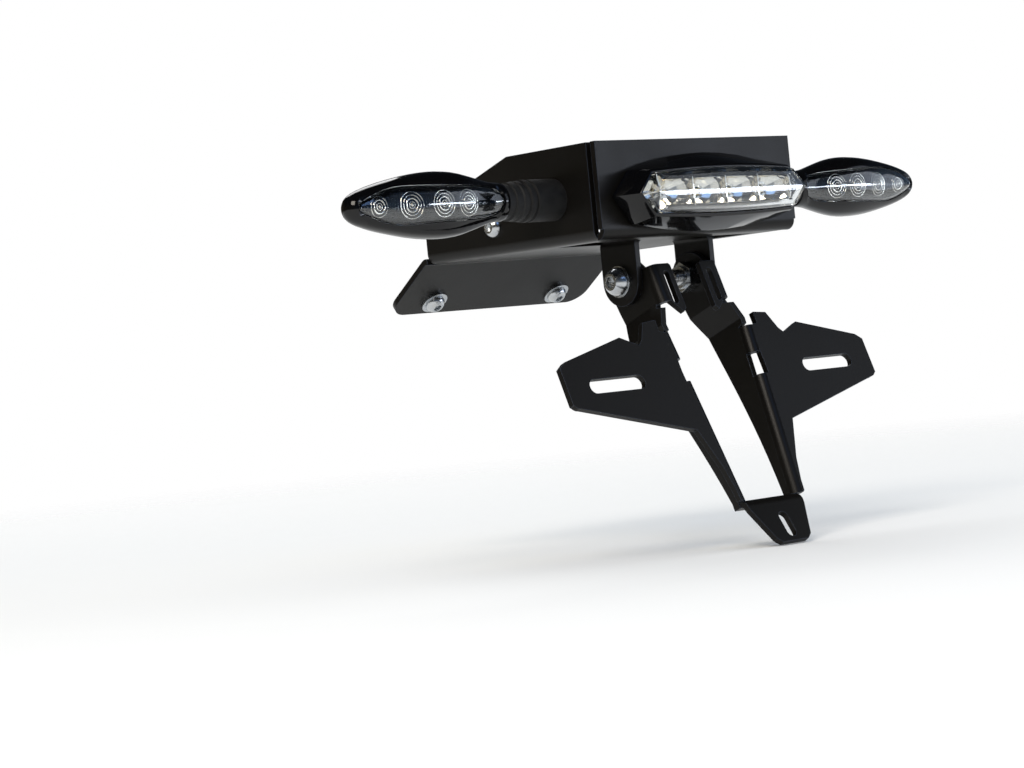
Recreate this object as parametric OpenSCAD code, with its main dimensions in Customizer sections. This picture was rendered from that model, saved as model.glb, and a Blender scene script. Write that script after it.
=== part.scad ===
// Motorcycle tail tidy: a folded sheet tray that carries the tail lamp and two
// indicators, and a folded number plate hanger that tilts on two pivot bolts.
// X runs across the motorcycle, +Y is forward and +Z is up. The drawing is laid
// out from the middle of the tray's rear lower edge, and shifted at the end so
// that the origin is the middle of the seat on the sloping front flange.

/* [Tray] */
// Width of the tray over its side walls
tray_w = 131; // [120:1:150]
// Thickness of the folded sheet
sheet_t = 3; // [2:0.5:4]
// Inside radius of every fold
fold_r = 2; // [1:0.5:3]
// Height of the rear plate
rear_h = 46; // [44:1:60]
// Height of the side walls at the front
wall_front_h = 27; // [22:1:40]
// Length of the flat floor up to the front fold
floor_l = 129; // [120:1:140]
// Downward angle of the front flange
flange_a = 35; // [25:1:45]
// Length of the front flange
flange_l = 39; // [36:1:50]
// Distance of the fixing holes from the start of the flange
flange_hole_s = 29; // [22:1:30]
// Distance between the two fixing holes
flange_hole_x = 84; // [70:1:100]

/* [Ears] */
// Clear distance between the two ears
ear_gap = 47.4; // [44:0.2:52]
// Width of an ear, fore and aft
ear_w = 24; // [22:1:28]
// Distance of the pivot axis behind the rear face of the tray, going forward
pivot_y = 32; // [30:1:40]
// Depth of the pivot axis below the floor
pivot_drop = 18.7; // [17:0.1:22]

/* [Hanger] */
// Lean of the hanger plane from upright
hanger_tilt = 21; // [10:1:30]
// Distance from the pivot axis back to the hanger plane
hanger_back = 18.6; // [17:0.2:22]
// Distance from the pivot axis down to the bottom of the wing notches
notch_drop = 40.7; // [38:0.1:44]
// Width over the two wings
wing_span = 206; // [190:1:220]
// Height of a wing at its outer end
wing_end_h = 22; // [16:1:26]
// Distance between the middles of the two wing slots
slot_pitch = 143; // [130:1:150]
// Length of a wing slot
slot_l = 35; // [20:1:37]
// Width of a wing slot
slot_w = 7; // [5:0.2:8]
// Lean of the lower legs towards each other
leg_taper = 5.7; // [3:0.1:7]
// Distance from the notch line down to the cross piece
cross_drop = 81; // [76:1:90]
// Height of the reflector tab below the cross piece
tab_h = 26; // [22:1:30]
// Further lean of the reflector tab behind the hanger plane
tab_lean = 10.5; // [5:0.5:15]

/* [Tail lamp] */
// Width of the lamp housing
lamp_w = 118; // [110:1:124]
// Height of the lamp housing
lamp_h = 37.5; // [34:0.5:40]
// Height of the lamp's middle above the floor
lamp_z = 19.5; // [18:0.5:22]
// Depth of the lamp housing
lamp_d = 16.5; // [14:0.5:20]
// Width of the lens
lens_w = 107; // [100:1:110]
// Height of the lens
lens_h = 21; // [18:0.5:24]
// Bulge of the lens beyond the housing
lens_bulge = 6; // [3:0.5:9]
// Number of reflector cells
cell_count = 4; // [3:1:6]

/* [Indicators] */
// Distance of the indicator axis from the rear face of the tray
ind_y = 32; // [26:1:38]
// Height of the indicator axis above the floor
ind_z = 22; // [18:1:26]
// Distance between the two indicator tips
ind_span = 381; // [340:1:400]
// Length of one indicator housing
ind_l = 91; // [80:1:100]
// Height of one indicator housing
ind_h = 31; // [26:1:34]
// Depth of one indicator housing
ind_d = 27; // [22:1:30]
// Diameter of the rubber stalk
stalk_d = 20; // [16:1:24]

/* [Fasteners] */
// Shank diameter of the pivot bolts
pivot_d = 8; // [6:1:10]
// Length of the pivot bolts under the head
pivot_l = 20; // [18:1:26]
// Radial clearance of the pivot bolts in their holes
pivot_fit = 0.08; // [0.03:0.01:0.1]
// Shank diameter of the fixing bolts
fix_d = 6; // [5:1:6]
// Thickness of the fixing washers
fix_washer_t = 1.5; // [1:0.1:2]
// Radial clearance of the other bolts in their holes
bolt_fit = 0.3; // [0.1:0.1:0.5]
// How much thinner the threaded end of a bolt is than its shank
thread_play = 0.12; // [0.05:0.01:0.2]

/* [Hidden] */
$fn = 64;
slit = 0.3;
bend_out = fold_r + sheet_t;
half_w = tray_w / 2;
ear_in = ear_gap / 2;
ear_out = ear_in + sheet_t;
// Bend of the front flange: its axis lies below the floor
flange_end_y = floor_l + bend_out * sin(flange_a);
flange_end_z = -fold_r + bend_out * cos(flange_a);
seat_y = flange_end_y + flange_hole_s * cos(flange_a);
seat_z = flange_end_z - flange_hole_s * sin(flange_a);
// Inner face of the upper legs, and of the lower legs on the notch line
leg_out = ear_in - slit;
leg_in = leg_out - sheet_t;
leg_notch_in = leg_in + 3.9;
leg_slope = tan(leg_taper);
leg_foot_y = -10;
wing_rear = -hanger_back;
wing_front = wing_rear + sheet_t;
bend_y = wing_rear + bend_out;
pad_r = ear_w / 2;
// Indicator axis along X from the side wall outwards
stalk_x0 = half_w;
body_x0 = ind_span / 2 - ind_l;
body_x1 = ind_span / 2;
lamp_stud_x = 32;
lamp_stud_d = 5;
wire_hole_d = 13;
side_bolt_y = 76;
side_bolt_z = 13.6;
side_d = 6;
lens_y0 = -lamp_d;
lens_wall = 2;
// Slot of the reflector tab, and its middle below the fold
tab_slot_l = 13.6;
tab_slot_w = 6;
tab_slot_drop = 12;

// Moves the layout so that the flange seat is the origin
module placed() { translate([0, -seat_y, -seat_z]) children(); }
// Left is -X and right is +X: the right-hand piece is drawn and mirrored
module left() { mirror([1, 0, 0]) children(); }
module both() { children(); mirror([1, 0, 0]) children(); }
module hanger_frame() { translate([0, pivot_y, -pivot_drop]) rotate([-hanger_tilt, 0, 0]) children(); }
// Lays a profile drawn in (Y, Z) as a plate from x0 to x1
module plate_yz(x0, x1) { translate([x0, 0, 0]) rotate([90, 0, 90]) linear_extrude(x1 - x0) children(); }
// Lays a profile drawn in (X, Z) as a plate from y0 to y1
module plate_xz(y0, y1) { translate([0, y1, 0]) rotate([90, 0, 0]) linear_extrude(y1 - y0) children(); }

// Section of a square fold: the quarter ring between the +X and +Y directions
module fold_section() {
    intersection() {
        difference() {
            circle(r = bend_out);
            circle(r = fold_r);
        }
        square(2 * bend_out);
    }
}
// A slot with round ends, drawn around the origin along X
module slot(l, w) {
    square([l - w, w], center = true);
    for (s = [-1, 1]) translate([s * (l - w) / 2, 0]) circle(d = w);
}

// Tray
module side_wall_profile() {
    wall_y0 = bend_out + 1;
    corner = 6;
    polygon([
        [wall_y0, bend_out], [floor_l - 2, bend_out], [floor_l - 2, wall_front_h - corner],
        [floor_l - 2 - corner, wall_front_h], [62, rear_h], [wall_y0, rear_h]
    ]);
}
module ear_profile() {
    translate([pivot_y - ear_w / 2, -pivot_drop]) square([ear_w, pivot_drop - fold_r]);
    translate([pivot_y, -pivot_drop]) circle(r = ear_w / 2);
}
module ear() {
    difference() {
        union() {
            plate_yz(ear_in, ear_out) ear_profile();
            translate([ear_in - fold_r, pivot_y + ear_w / 2, -fold_r])
                rotate([90, 0, 0]) linear_extrude(ear_w) fold_section();
        }
        translate([0, pivot_y, -pivot_drop]) rotate([0, 90, 0]) cylinder(r = pivot_d / 2 + pivot_fit, h = 60);
    }
}
module tray_floor() {
    window_l = pivot_drop + ear_w / 2 + 1;
    relief = 1;
    difference() {
        translate([-half_w + bend_out, bend_out, 0]) cube([tray_w - 2 * bend_out, floor_l - bend_out, sheet_t]);
        both() translate([ear_in - fold_r, pivot_y - ear_w / 2 - relief, -1])
            cube([window_l, ear_w + 2 * relief, sheet_t + 2]);
    }
    // rear fold and side folds
    translate([-half_w + 1, bend_out, bend_out]) rotate([0, 90, 0]) rotate([0, 0, -90])
        linear_extrude(tray_w - 2) fold_section();
    both() translate([half_w - bend_out, floor_l - 2, bend_out]) rotate([90, 0, 0]) rotate([0, 0, -90])
        linear_extrude(floor_l - 2 - bend_out - 1) fold_section();
}
// Front fold and flange as one strip, drawn in (Y, Z); it starts inside the floor
module flange_section() {
    steps = 12;
    lap = 1;
    function arc(r) = [for (i = [0:steps]) let (a = 90 - flange_a * i / steps)
        [floor_l + r * cos(a), -fold_r + r * sin(a)]];
    function end_of(r) = [floor_l + r * sin(flange_a) + flange_l * cos(flange_a),
        -fold_r + r * cos(flange_a) - flange_l * sin(flange_a)];
    outer = arc(bend_out);
    inner = arc(fold_r);
    polygon(concat([[floor_l - lap, sheet_t]], outer, [end_of(bend_out), end_of(fold_r)],
        [for (i = [steps:-1:0]) inner[i]], [[floor_l - lap, 0]]));
}
module flange() {
    corner = 10;
    difference() {
        plate_yz(-half_w, half_w) flange_section();
        translate([0, flange_end_y, flange_end_z]) rotate([-flange_a, 0, 0]) {
            for (s = [-1, 1]) translate([s * flange_hole_x / 2, flange_hole_s, -sheet_t - 1])
                cylinder(r = fix_d / 2 + bolt_fit, h = sheet_t + 2);
            both() translate([half_w - corner, flange_l - corner, -sheet_t - 1]) linear_extrude(sheet_t + 2) difference() {
                square([corner + 1, corner + 1]);
                circle(r = corner);
            }
        }
    }
}
module tray() {
    color("#17191d") placed() {
        difference() {
            union() {
                tray_floor();
                plate_xz(0, sheet_t) translate([-half_w, bend_out]) square([tray_w, rear_h - bend_out]);
                both() plate_yz(half_w - sheet_t, half_w) side_wall_profile();
            }
            // holes for the lamp studs and its wires
            for (x = [-lamp_stud_x, lamp_stud_x]) translate([x, -1, lamp_z])
                rotate([-90, 0, 0]) cylinder(r = lamp_stud_d / 2 + bolt_fit, h = sheet_t + 2);
            translate([0, -1, lamp_z]) rotate([-90, 0, 0]) cylinder(d = wire_hole_d, h = sheet_t + 2);
            both() {
                translate([half_w - sheet_t - 1, ind_y, ind_z]) rotate([0, 90, 0])
                    cylinder(d = stem_d + 2, h = sheet_t + 2);
                translate([half_w - sheet_t - 1, side_bolt_y, side_bolt_z]) rotate([0, 90, 0])
                    cylinder(r = side_d / 2 + bolt_fit, h = sheet_t + 2);
            }
        }
        both() ear();
        flange();
    }
}

// Number plate hanger, drawn from the pivot axis: +Y is forward, +Z up its plane
function drop(v) = -notch_drop - v;
function leg_x(v) = leg_notch_in - leg_slope * v;
function bez(a, b, c, d, t) =
    pow(1 - t, 3) * a + 3 * t * pow(1 - t, 2) * b + 3 * t * t * (1 - t) * c + t * t * t * d;
module wing() {
    top_v = 6;
    outer = wing_span / 2;
    corner = 4;
    lip = 2;
    lip_end = 0.6;
    wing_foot = cross_drop + 0.5;
    difference() {
        union() {
            polygon([
                [leg_x(-5) + bend_out, drop(-5.4)], [33.4, drop(-6)], [33.4, drop(-11.9)],
                [41.9, drop(-11.2)], [46.5, drop(-2.6)], [49.2, drop(0)], [60.2, drop(-4.8)],
                [outer - corner, drop(top_v - 1.2)], [outer, drop(top_v + 1.6)],
                [outer, drop(top_v + wing_end_h - corner / 2)], [outer - corner, drop(top_v + wing_end_h)],
                [leg_x(45) + bend_out + 3.9 * lip, drop(44.7)], [leg_x(64) + bend_out + lip, drop(64.5)],
                [leg_x(76) + bend_out + lip_end, drop(76)], [leg_x(wing_foot) + bend_out + lip_end, drop(wing_foot)],
                [leg_x(wing_foot) + bend_out - 0.5, drop(wing_foot)],
                [leg_x(-5) + bend_out - 0.5, drop(-5)]
            ]);
            translate([outer - corner, drop(top_v + wing_end_h - corner)]) circle(r = corner);
        }
        translate([slot_pitch / 2, drop(18)]) slot(slot_l, slot_w);
        // relief window over the fold
        translate([0, drop(20.2)]) square([leg_x(14) + bend_out + 0.4, 11.6]);
    }
}
module leg_strip() {
    joggle = [-22, -10];
    x1 = leg_x(joggle[1]);
    foot = cross_drop + sheet_t;
    polygon([
        [leg_in, pad_r], [leg_in, drop(joggle[0])], [x1, drop(joggle[1])], [leg_x(foot), drop(foot)],
        [leg_x(foot) + sheet_t, drop(foot)], [x1 + sheet_t, drop(joggle[1])], [leg_out, drop(joggle[0])],
        [leg_out, pad_r]
    ]);
}
module leg_profile() {
    foot = drop(cross_drop + sheet_t);
    front = [for (i = [0:16]) let (t = i / 16)
        [bez(11.6, 11.5, -4, leg_foot_y, t), bez(-3, -28, -62, foot + sheet_t, t)]];
    difference() {
        union() {
            circle(r = pad_r);
            polygon(concat([[bend_y, 0], [-9, 7.9], [0, 6]], front, [[leg_foot_y, foot], [bend_y, foot]]));
            // bare cut edge between the two folds
            polygon([[bend_y, drop(-19.8)], [wing_rear + 1.6, drop(-18.6)], [wing_rear + 1.6, drop(-7)],
                [bend_y, drop(-6)]]);
        }
        circle(r = pivot_d / 2 + pivot_fit);
    }
}
module leg_fold(v0, v1) {
    // the fold follows the lower leg, with its hollow side outwards
    translate([leg_x(v1) + bend_out, bend_y, drop(v1)]) rotate([0, leg_taper, 0])
        linear_extrude((v1 - v0) / cos(leg_taper)) rotate(180) fold_section();
}
module light_tab() {
    tab_foot = -19.3;
    inner = 10;
    translate([leg_out - bend_out, bend_y, tab_foot]) linear_extrude(-tab_foot) rotate(-90) fold_section();
    plate_xz(wing_rear, wing_front) difference() {
        polygon([[inner, -1], [inner + 1, 0], [leg_out - bend_out, 0], [leg_out - bend_out, tab_foot],
            [inner + 2, tab_foot - 6.3], [inner, tab_foot - 4.4]]);
        translate([inner + 4.6, -12.4]) rotate(90) slot(17.5, 3.6);
    }
}
// Section of the cross piece, its fold and the reflector tab, drawn in (Y, Z) around the fold's middle
module cross_section() {
    steps = 10;
    tab_l = tab_h - bend_out;
    shelf = leg_foot_y - bend_y + 0.6;
    function arc(r) = [for (i = [0:steps]) let (a = 90 + (90 - tab_lean) * i / steps) [r * cos(a), r * sin(a)]];
    function foot(r) = [-r * cos(tab_lean) - tab_l * sin(tab_lean), r * sin(tab_lean) - tab_l * cos(tab_lean)];
    outer = arc(bend_out);
    inner = arc(fold_r);
    polygon(concat([[shelf, bend_out]], outer, [foot(bend_out), foot(fold_r)],
        [for (i = [steps:-1:0]) inner[i]], [[shelf, fold_r]]));
}
module cross_piece() {
    tab_half = leg_x(cross_drop) + sheet_t - 0.5;
    foot_half = tab_half - 7.2;
    foot_z = bend_out - tab_h;
    translate([0, bend_y, drop(cross_drop + bend_out)]) intersection() {
        plate_yz(-tab_half, tab_half) cross_section();
        rotate([-tab_lean, 0, 0]) plate_xz(-bend_out - 1, 3 * bend_out) difference() {
            polygon([[-tab_half, 2 * bend_out], [tab_half, 2 * bend_out], [tab_half, 0], [tab_half - 0.4, -2],
                [foot_half, foot_z + 2.4], [foot_half - 3, foot_z], [3 - foot_half, foot_z],
                [-foot_half, foot_z + 2.4], [0.4 - tab_half, -2], [-tab_half, 0]]);
            translate([0, -tab_slot_drop]) rotate(90) slot(tab_slot_l, tab_slot_w);
        }
    }
}
module plate_hanger() {
    color("#1b1a18") placed() hanger_frame() {
        both() {
            plate_xz(wing_rear, wing_front) wing();
            intersection() {
                plate_xz(-40, 40) leg_strip();
                plate_yz(0, 40) leg_profile();
            }
            leg_fold(-5.4, 8.6);
            leg_fold(20.2, cross_drop + 1);
            light_tab();
        }
        cross_piece();
    }
}

// Fasteners, drawn along +X with the underside of the head at x = 0
module button_head(d, h, key) {
    rim = 0.12 * h;
    face_r = 0.29 * d;
    // the dome is part of a ball through the rim and the edge of the flat face
    middle = (pow(face_r, 2) + h * h - pow(d / 2, 2) - rim * rim) / (2 * (h - rim));
    ball_r = norm([d / 2, rim - middle]);
    rotate([0, 90, 0]) difference() {
        rotate_extrude() intersection() {
            square([d / 2, h]);
            translate([0, middle]) circle(r = ball_r);
        }
        translate([0, 0, h * 0.45]) cylinder(d = key / cos(30), h = h, $fn = 6);
    }
}
// The shank is plain for the length of the grip, and the bolt a little thinner where it is threaded
module button_bolt(d, l, grip, head_h) {
    button_head(1.75 * d, head_h, 0.65 * d);
    translate([-grip, 0, 0]) rotate([0, 90, 0]) cylinder(d = d, h = grip);
    bolt_thread(d, l, l);
}
// A waisted bolt is thinner than its thread for the length of the grip, and threaded above it
module waisted_bolt(d, l, grip, head_h, waist_d) {
    lap = 0.5;
    button_head(1.75 * d, head_h, 0.65 * d);
    translate([-grip - lap, 0, 0]) rotate([0, 90, 0]) cylinder(d = waist_d, h = grip + lap);
    bolt_thread(d, l, l - grip);
}
// The last stretch of a bolt of length l, with its tip cut back
module bolt_thread(d, l, stretch) {
    tip = 0.1 * d;
    thread_d = d - thread_play;
    translate([-l, 0, 0]) rotate([0, 90, 0]) {
        translate([0, 0, tip]) cylinder(d = thread_d, h = stretch - tip);
        cylinder(d1 = thread_d - 2 * tip, d2 = thread_d, h = tip);
    }
}
module washer(id, od, t) {
    rotate([0, 90, 0]) difference() {
        cylinder(d = od, h = t);
        translate([0, 0, -1]) cylinder(d = id, h = t + 2);
    }
}
// A lock nut for a thread of diameter d, with its bore a hair wider
nut_play = 0.04;
module lock_nut(d, bore) {
    af = 1.63 * d;
    hex_h = 0.78 * d;
    rotate([0, 90, 0]) difference() {
        union() {
            intersection() {
                cylinder(d = af / cos(30), h = hex_h, $fn = 6);
                translate([0, 0, hex_h / 2]) sphere(r = 0.62 * af);
            }
            cylinder(d = 0.86 * af, h = d);
        }
        translate([0, 0, -1]) cylinder(d = bore, h = d + 2);
    }
}
washer_t = 0.2 * pivot_d;
nut_gap = 0.2;
module pivot_place() { placed() translate([0, pivot_y, -pivot_drop]) children(); }
module pivot_bolt() {
    color("#b9bcc0") pivot_place() translate([ear_out + washer_t, 0, 0])
        button_bolt(pivot_d, pivot_l, ear_out + washer_t - leg_in + nut_gap, 0.675 * pivot_d);
}
module pivot_washer() {
    color("#a9acb0") pivot_place() translate([ear_out, 0, 0])
        washer(pivot_d + 2 * pivot_fit, 1.9 * pivot_d, washer_t);
}
module pivot_nut() {
    color("#a9acb0") pivot_place() translate([leg_in - nut_gap, 0, 0]) mirror([1, 0, 0])
        lock_nut(pivot_d, pivot_d - thread_play + nut_play);
}
// Fixing bolts come up through the flange, square to it
fix_l = 20;
fix_waist_d = 0.88 * fix_d;
module fixing_place() {
    translate([flange_hole_x / 2, 0, 0]) rotate([-flange_a, 0, 0]) translate([0, 0, -sheet_t]) rotate([0, 90, 0]) children();
}
module fixing_bolt() {
    color("#b9bcc0") fixing_place() translate([fix_washer_t, 0, 0])
        waisted_bolt(fix_d, fix_l, fix_washer_t + sheet_t, 0.57 * fix_d, fix_waist_d);
}
module fixing_washer() { color("#a9acb0") fixing_place() washer(fix_d + 2 * pivot_fit, 2.35 * fix_d, fix_washer_t); }
module side_place() { placed() translate([half_w, side_bolt_y, side_bolt_z]) children(); }
module side_bolt() { color("#b9bcc0") side_place() button_bolt(side_d, 14, sheet_t, 0.57 * side_d); }
module side_nut() {
    color("#a9acb0") side_place() translate([-sheet_t, 0, 0]) mirror([1, 0, 0])
        lock_nut(side_d, side_d - thread_play + nut_play);
}

// Tail lamp, drawn in (X, Z) outlines around its own middle
// Their long sides are arched between two shoulders, and their ends are pointed
module arched(half, shoulder, top, top_shoulder, bottom, bottom_shoulder) {
    steps = 8;
    function bowed(high, low) = [for (i = [0:steps]) let (u = 2 * i / steps - 1)
        [u * shoulder, low + (high - low) * (1 - u * u)]];
    upper = bowed(top, top_shoulder);
    lower = bowed(-bottom, -bottom_shoulder);
    polygon(concat([[-half, 0]], upper, [[half, 0]], [for (i = [steps:-1:0]) lower[i]]));
}
module lamp_outline(w, h) { arched(0.5 * w, 0.407 * w, 0.513 * h, 0.321 * h, 0.487 * h, 0.353 * h); }
module lens_outline(w, h) { arched(0.5 * w, 0.425 * w, 0.5 * h, 0.429 * h, 0.5 * h, 0.443 * h); }
module at_lamp() { placed() translate([0, 0, lamp_z]) children(); }
module lens_solid(grow) {
    // outer form of the lens, drawn in by grow on every side
    hull() {
        plate_xz(lens_y0 + 1, lens_y0 + 2) lens_outline(lens_w - 2 * grow, lens_h - 2 * grow);
        plate_xz(lens_y0 - lens_bulge + 2 + grow, lens_y0) lens_outline(lens_w - 5 - 2 * grow, lens_h - 2 - 2 * grow);
        plate_xz(lens_y0 - lens_bulge + grow, lens_y0) lens_outline(lens_w - 26 - 2 * grow, lens_h - 7 - 2 * grow);
    }
}
module lamp_housing() {
    base_t = 3;
    rim = 3;
    back = 1.2;
    color("#08090a") at_lamp() {
        difference() {
            hull() {
                plate_xz(-back - base_t, -back) lamp_outline(lamp_w, lamp_h);
                plate_xz(-lamp_d, -lamp_d + 1) lens_outline(lens_w + 2 * rim - 3, lens_h + 2 * rim + 1);
            }
            // pocket for the lens and the reflector, open to the rear
            plate_xz(-lamp_d - 1, -back - base_t) lens_outline(lens_w - 3, lens_h - 1);
            plate_xz(-lamp_d - 1, lens_y0 + 2.3) lens_outline(lens_w + 0.6, lens_h + 0.6);
            translate([0, -back - base_t - 1, 0]) rotate([-90, 0, 0]) cylinder(d = 7, h = 8);
        }
        // two studs reach through the rear plate
        for (x = [-lamp_stud_x, lamp_stud_x]) translate([x, -back - 0.5, 0]) rotate([-90, 0, 0]) cylinder(d = lamp_stud_d, h = 14);
    }
}
module lamp_gasket() {
    color("#141414") at_lamp() plate_xz(-1.2, 0) difference() {
        lamp_outline(lamp_w - 3, lamp_h - 3);
        for (x = [-lamp_stud_x, lamp_stud_x]) translate([x, 0]) circle(r = lamp_stud_d / 2 + bolt_fit);
        circle(d = 16);
    }
}
module lamp_board() {
    color("#1f4d34") at_lamp() plate_xz(-6.2, -4.6) difference() {
        lens_outline(lens_w - 6, lens_h - 3);
        circle(d = 4);
    }
}
cell_pitch = (lens_w - 19) / cell_count;
function cell_x(i) = (i - (cell_count - 1) / 2) * cell_pitch;
led_t = 1.4;
module lamp_leds() {
    color("#f4e9c8") at_lamp() for (i = [0:cell_count - 1]) translate([cell_x(i), -6.2 - led_t, 0])
        plate_xz(0, led_t) square([3.4, 3.4], center = true);
}
module lamp_reflector() {
    // bowls in a row, one over each light, with thin walls between and around them
    cell_wall = 0.8;
    bowl_r = (cell_pitch - cell_wall) / 2;
    front = lens_y0 + 2.4;
    back = -6.2 - 0.2;
    light_d = 6;
    color("#d8dadd") at_lamp() difference() {
        plate_xz(front, back) lens_outline(lens_w - 6, lens_h - 3);
        for (i = [0:cell_count - 1]) translate([cell_x(i), front, 0]) rotate([-90, 0, 0]) {
            intersection() {
                translate([0, 0, -0.01]) cylinder(r1 = bowl_r, r2 = light_d / 2, h = back - front);
                translate([-bowl_r, 0.8 - 0.38 * lens_h, -1]) cube([2 * bowl_r, 0.76 * lens_h - 1.6, lamp_d]);
            }
            cylinder(d = light_d, h = lamp_d);
        }
    }
}
module lamp_lens() {
    color("#e9eef2", 0.5) at_lamp() difference() {
        lens_solid(0);
        lens_solid(lens_wall);
        translate([-lens_w / 2 + lens_wall + 2, lens_y0 + 0.5, 2.5 - lens_h / 2])
            cube([lens_w - 2 * lens_wall - 4, 3, lens_h - 5]);
    }
}
module lamp_nuts() {
    color("#a9acb0") at_lamp() for (x = [-lamp_stud_x, lamp_stud_x]) translate([x, sheet_t, 0])
        rotate([0, 0, 90]) lock_nut(lamp_stud_d, lamp_stud_d + nut_play);
}
module wire_grommet() {
    color("#101010") at_lamp() rotate([-90, 0, 0]) rotate_extrude()
        polygon([[3, 0.2], [wire_hole_d / 2 - 0.05, 0.2], [wire_hole_d / 2 - 0.05, sheet_t + 0.05],
            [wire_hole_d / 2 + 2, sheet_t + 0.05], [wire_hole_d / 2 + 1, sheet_t + 2], [3, sheet_t + 2.4]]);
}

// Indicators, drawn on the right along +X from the side wall
module at_ind() { placed() translate([0, ind_y, ind_z]) children(); }
station_t = 0.2;
module round_section(x, d, h) {
    translate([x, 0, 0]) rotate([0, 90, 0]) resize([h, d, station_t]) cylinder(d = 10, h = station_t, $fn = 32);
}
// Stations of the body: share of its length, of its height and of its depth
body_stations = [[0, 0.58, 0.62], [0.2, 0.8, 0.83], [0.31, 0.94, 0.95], [0.42, 1, 1], [0.53, 0.97, 0.97],
    [0.75, 0.775, 0.79], [0.9, 0.55, 0.58], [0.945, 0.45, 0.48], [0.976, 0.335, 0.36], [1, 0.085, 0.09]];
module body_form(shrink) {
    // a thin body has no room for the pointed end stations, and leaves them out
    hull() for (s = body_stations) if (s[1] * ind_h > 3 * shrink)
        round_section(body_x0 + shrink + s[0] * (ind_l - 2 * shrink - station_t), s[2] * ind_d - 2 * shrink,
            s[1] * ind_h - 2 * shrink);
}
// Teardrop window of the lens: share of the body's length, and half height as a share of the body's
window_stations = [[0.044, 0.12], [0.066, 0.174], [0.1, 0.21], [0.154, 0.242], [0.31, 0.265], [0.48, 0.281],
    [0.64, 0.294], [0.71, 0.287], [0.8, 0.239], [0.88, 0.158], [0.92, 0.106], [0.945, 0.061]];
ind_split = -4;
module window_prism(shrink) {
    upper = [for (s = window_stations) [body_x0 + s[0] * ind_l, s[1] * ind_h - shrink]];
    last = len(upper) - 1;
    plate_xz(-ind_d, ind_split) polygon(concat(
        [[upper[0][0] + shrink, 0]], upper, [[upper[last][0] + 1 - shrink, 0]],
        [for (i = [last:-1:0]) [upper[i][0], -upper[i][1]]]));
}
ind_wall = 1.8;
lens_fit = 0.1;
module ind_housing() {
    color("#0c0c0d") at_ind() difference() {
        body_form(0);
        body_form(ind_wall);
        window_prism(0);
    }
}
module ind_lens() {
    color("#dfe6ea", 0.5) at_ind() intersection() {
        difference() {
            body_form(lens_fit);
            body_form(ind_wall - 2 * lens_fit);
        }
        window_prism(lens_fit);
    }
}
// Places of the lights, as shares of the body's length
led_at = [0.28, 0.445, 0.637, 0.83];
module ind_board() {
    color("#1f4d34") at_ind() translate([body_x0 + ind_wall, ind_split + 1.2, -4]) cube([0.89 * ind_l - ind_wall, 1.4, 8]);
}
module ind_leds() {
    color("#f0b050") at_ind() for (s = led_at) translate([body_x0 + s * ind_l, ind_split + 1.2, 0]) rotate([90, 0, 0]) {
        cylinder(d = 5, h = 1);
        translate([0, 0, 1]) intersection() {
            sphere(d = 4.4);
            cylinder(d = 6, h = 4);
        }
    }
}
stem_d = 10;
stem_l = 16;
module ind_stalk() {
    // ribbed rubber stalk; its hollow threaded stem passes through the side wall
    stalk_l = body_x0 - stalk_x0;
    rib = stalk_l / 8;
    groove = 1.1;
    taper = 0.5;
    neck_r = 8.2;
    stalk_r = stalk_d / 2;
    bore_d = 4;
    ribbed = stalk_l - 4 * rib;
    color("#111111") at_ind() rotate([0, 90, 0]) difference() {
        union() {
            translate([0, 0, stalk_x0]) rotate_extrude() polygon(concat(
                [[0, 0], [stalk_r, 0], [stalk_r, ribbed]],
                [for (i = [0:2]) let (x = ribbed + i * rib)
                    each [[stalk_r - groove, x + 0.12 * rib], [stalk_r - groove, x + 0.31 * rib],
                        [stalk_r - taper * i, x + 0.43 * rib], [stalk_r - taper * i, x + rib]]],
                [[neck_r, ribbed + 3.1 * rib], [neck_r, stalk_l], [0, stalk_l]]));
            translate([0, 0, half_w - stem_l]) cylinder(d = stem_d, h = stem_l + 1);
        }
        translate([0, 0, half_w - stem_l - 1]) cylinder(d = bore_d, h = stem_l + stalk_l + 2);
    }
}
module ind_nut() {
    nut_h = 0.6 * stem_d;
    color("#a9acb0") at_ind() translate([half_w - sheet_t, 0, 0]) mirror([1, 0, 0]) {
        rotate([0, 90, 0]) difference() {
            cylinder(d = 1.7 * stem_d / cos(30), h = nut_h, $fn = 6);
            translate([0, 0, -1]) cylinder(d = stem_d + nut_play, h = nut_h + 2);
        }
    }
}

tray();
plate_hanger();
left() pivot_bolt();  // pivot_bolt_left
pivot_bolt();  // pivot_bolt_right
left() pivot_washer();  // pivot_washer_left
pivot_washer();  // pivot_washer_right
left() pivot_nut();  // pivot_nut_left
pivot_nut();  // pivot_nut_right
left() fixing_bolt();  // fixing_bolt_left
fixing_bolt();  // fixing_bolt_right
left() fixing_washer();  // fixing_washer_left
fixing_washer();  // fixing_washer_right
left() side_bolt();  // side_bolt_left
side_bolt();  // side_bolt_right
left() side_nut();  // side_nut_left
side_nut();  // side_nut_right
lamp_housing();
lamp_reflector();
lamp_board();
lamp_leds();
lamp_lens();
lamp_gasket();
lamp_nuts();
wire_grommet();
left() ind_housing();  // indicator_housing_left
ind_housing();  // indicator_housing_right
left() ind_lens();  // indicator_lens_left
ind_lens();  // indicator_lens_right
left() ind_board();  // indicator_board_left
ind_board();  // indicator_board_right
left() ind_leds();  // indicator_leds_left
ind_leds();  // indicator_leds_right
left() ind_stalk();  // indicator_stalk_left
ind_stalk();  // indicator_stalk_right
left() ind_nut();  // indicator_nut_left
ind_nut();  // indicator_nut_right
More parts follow.
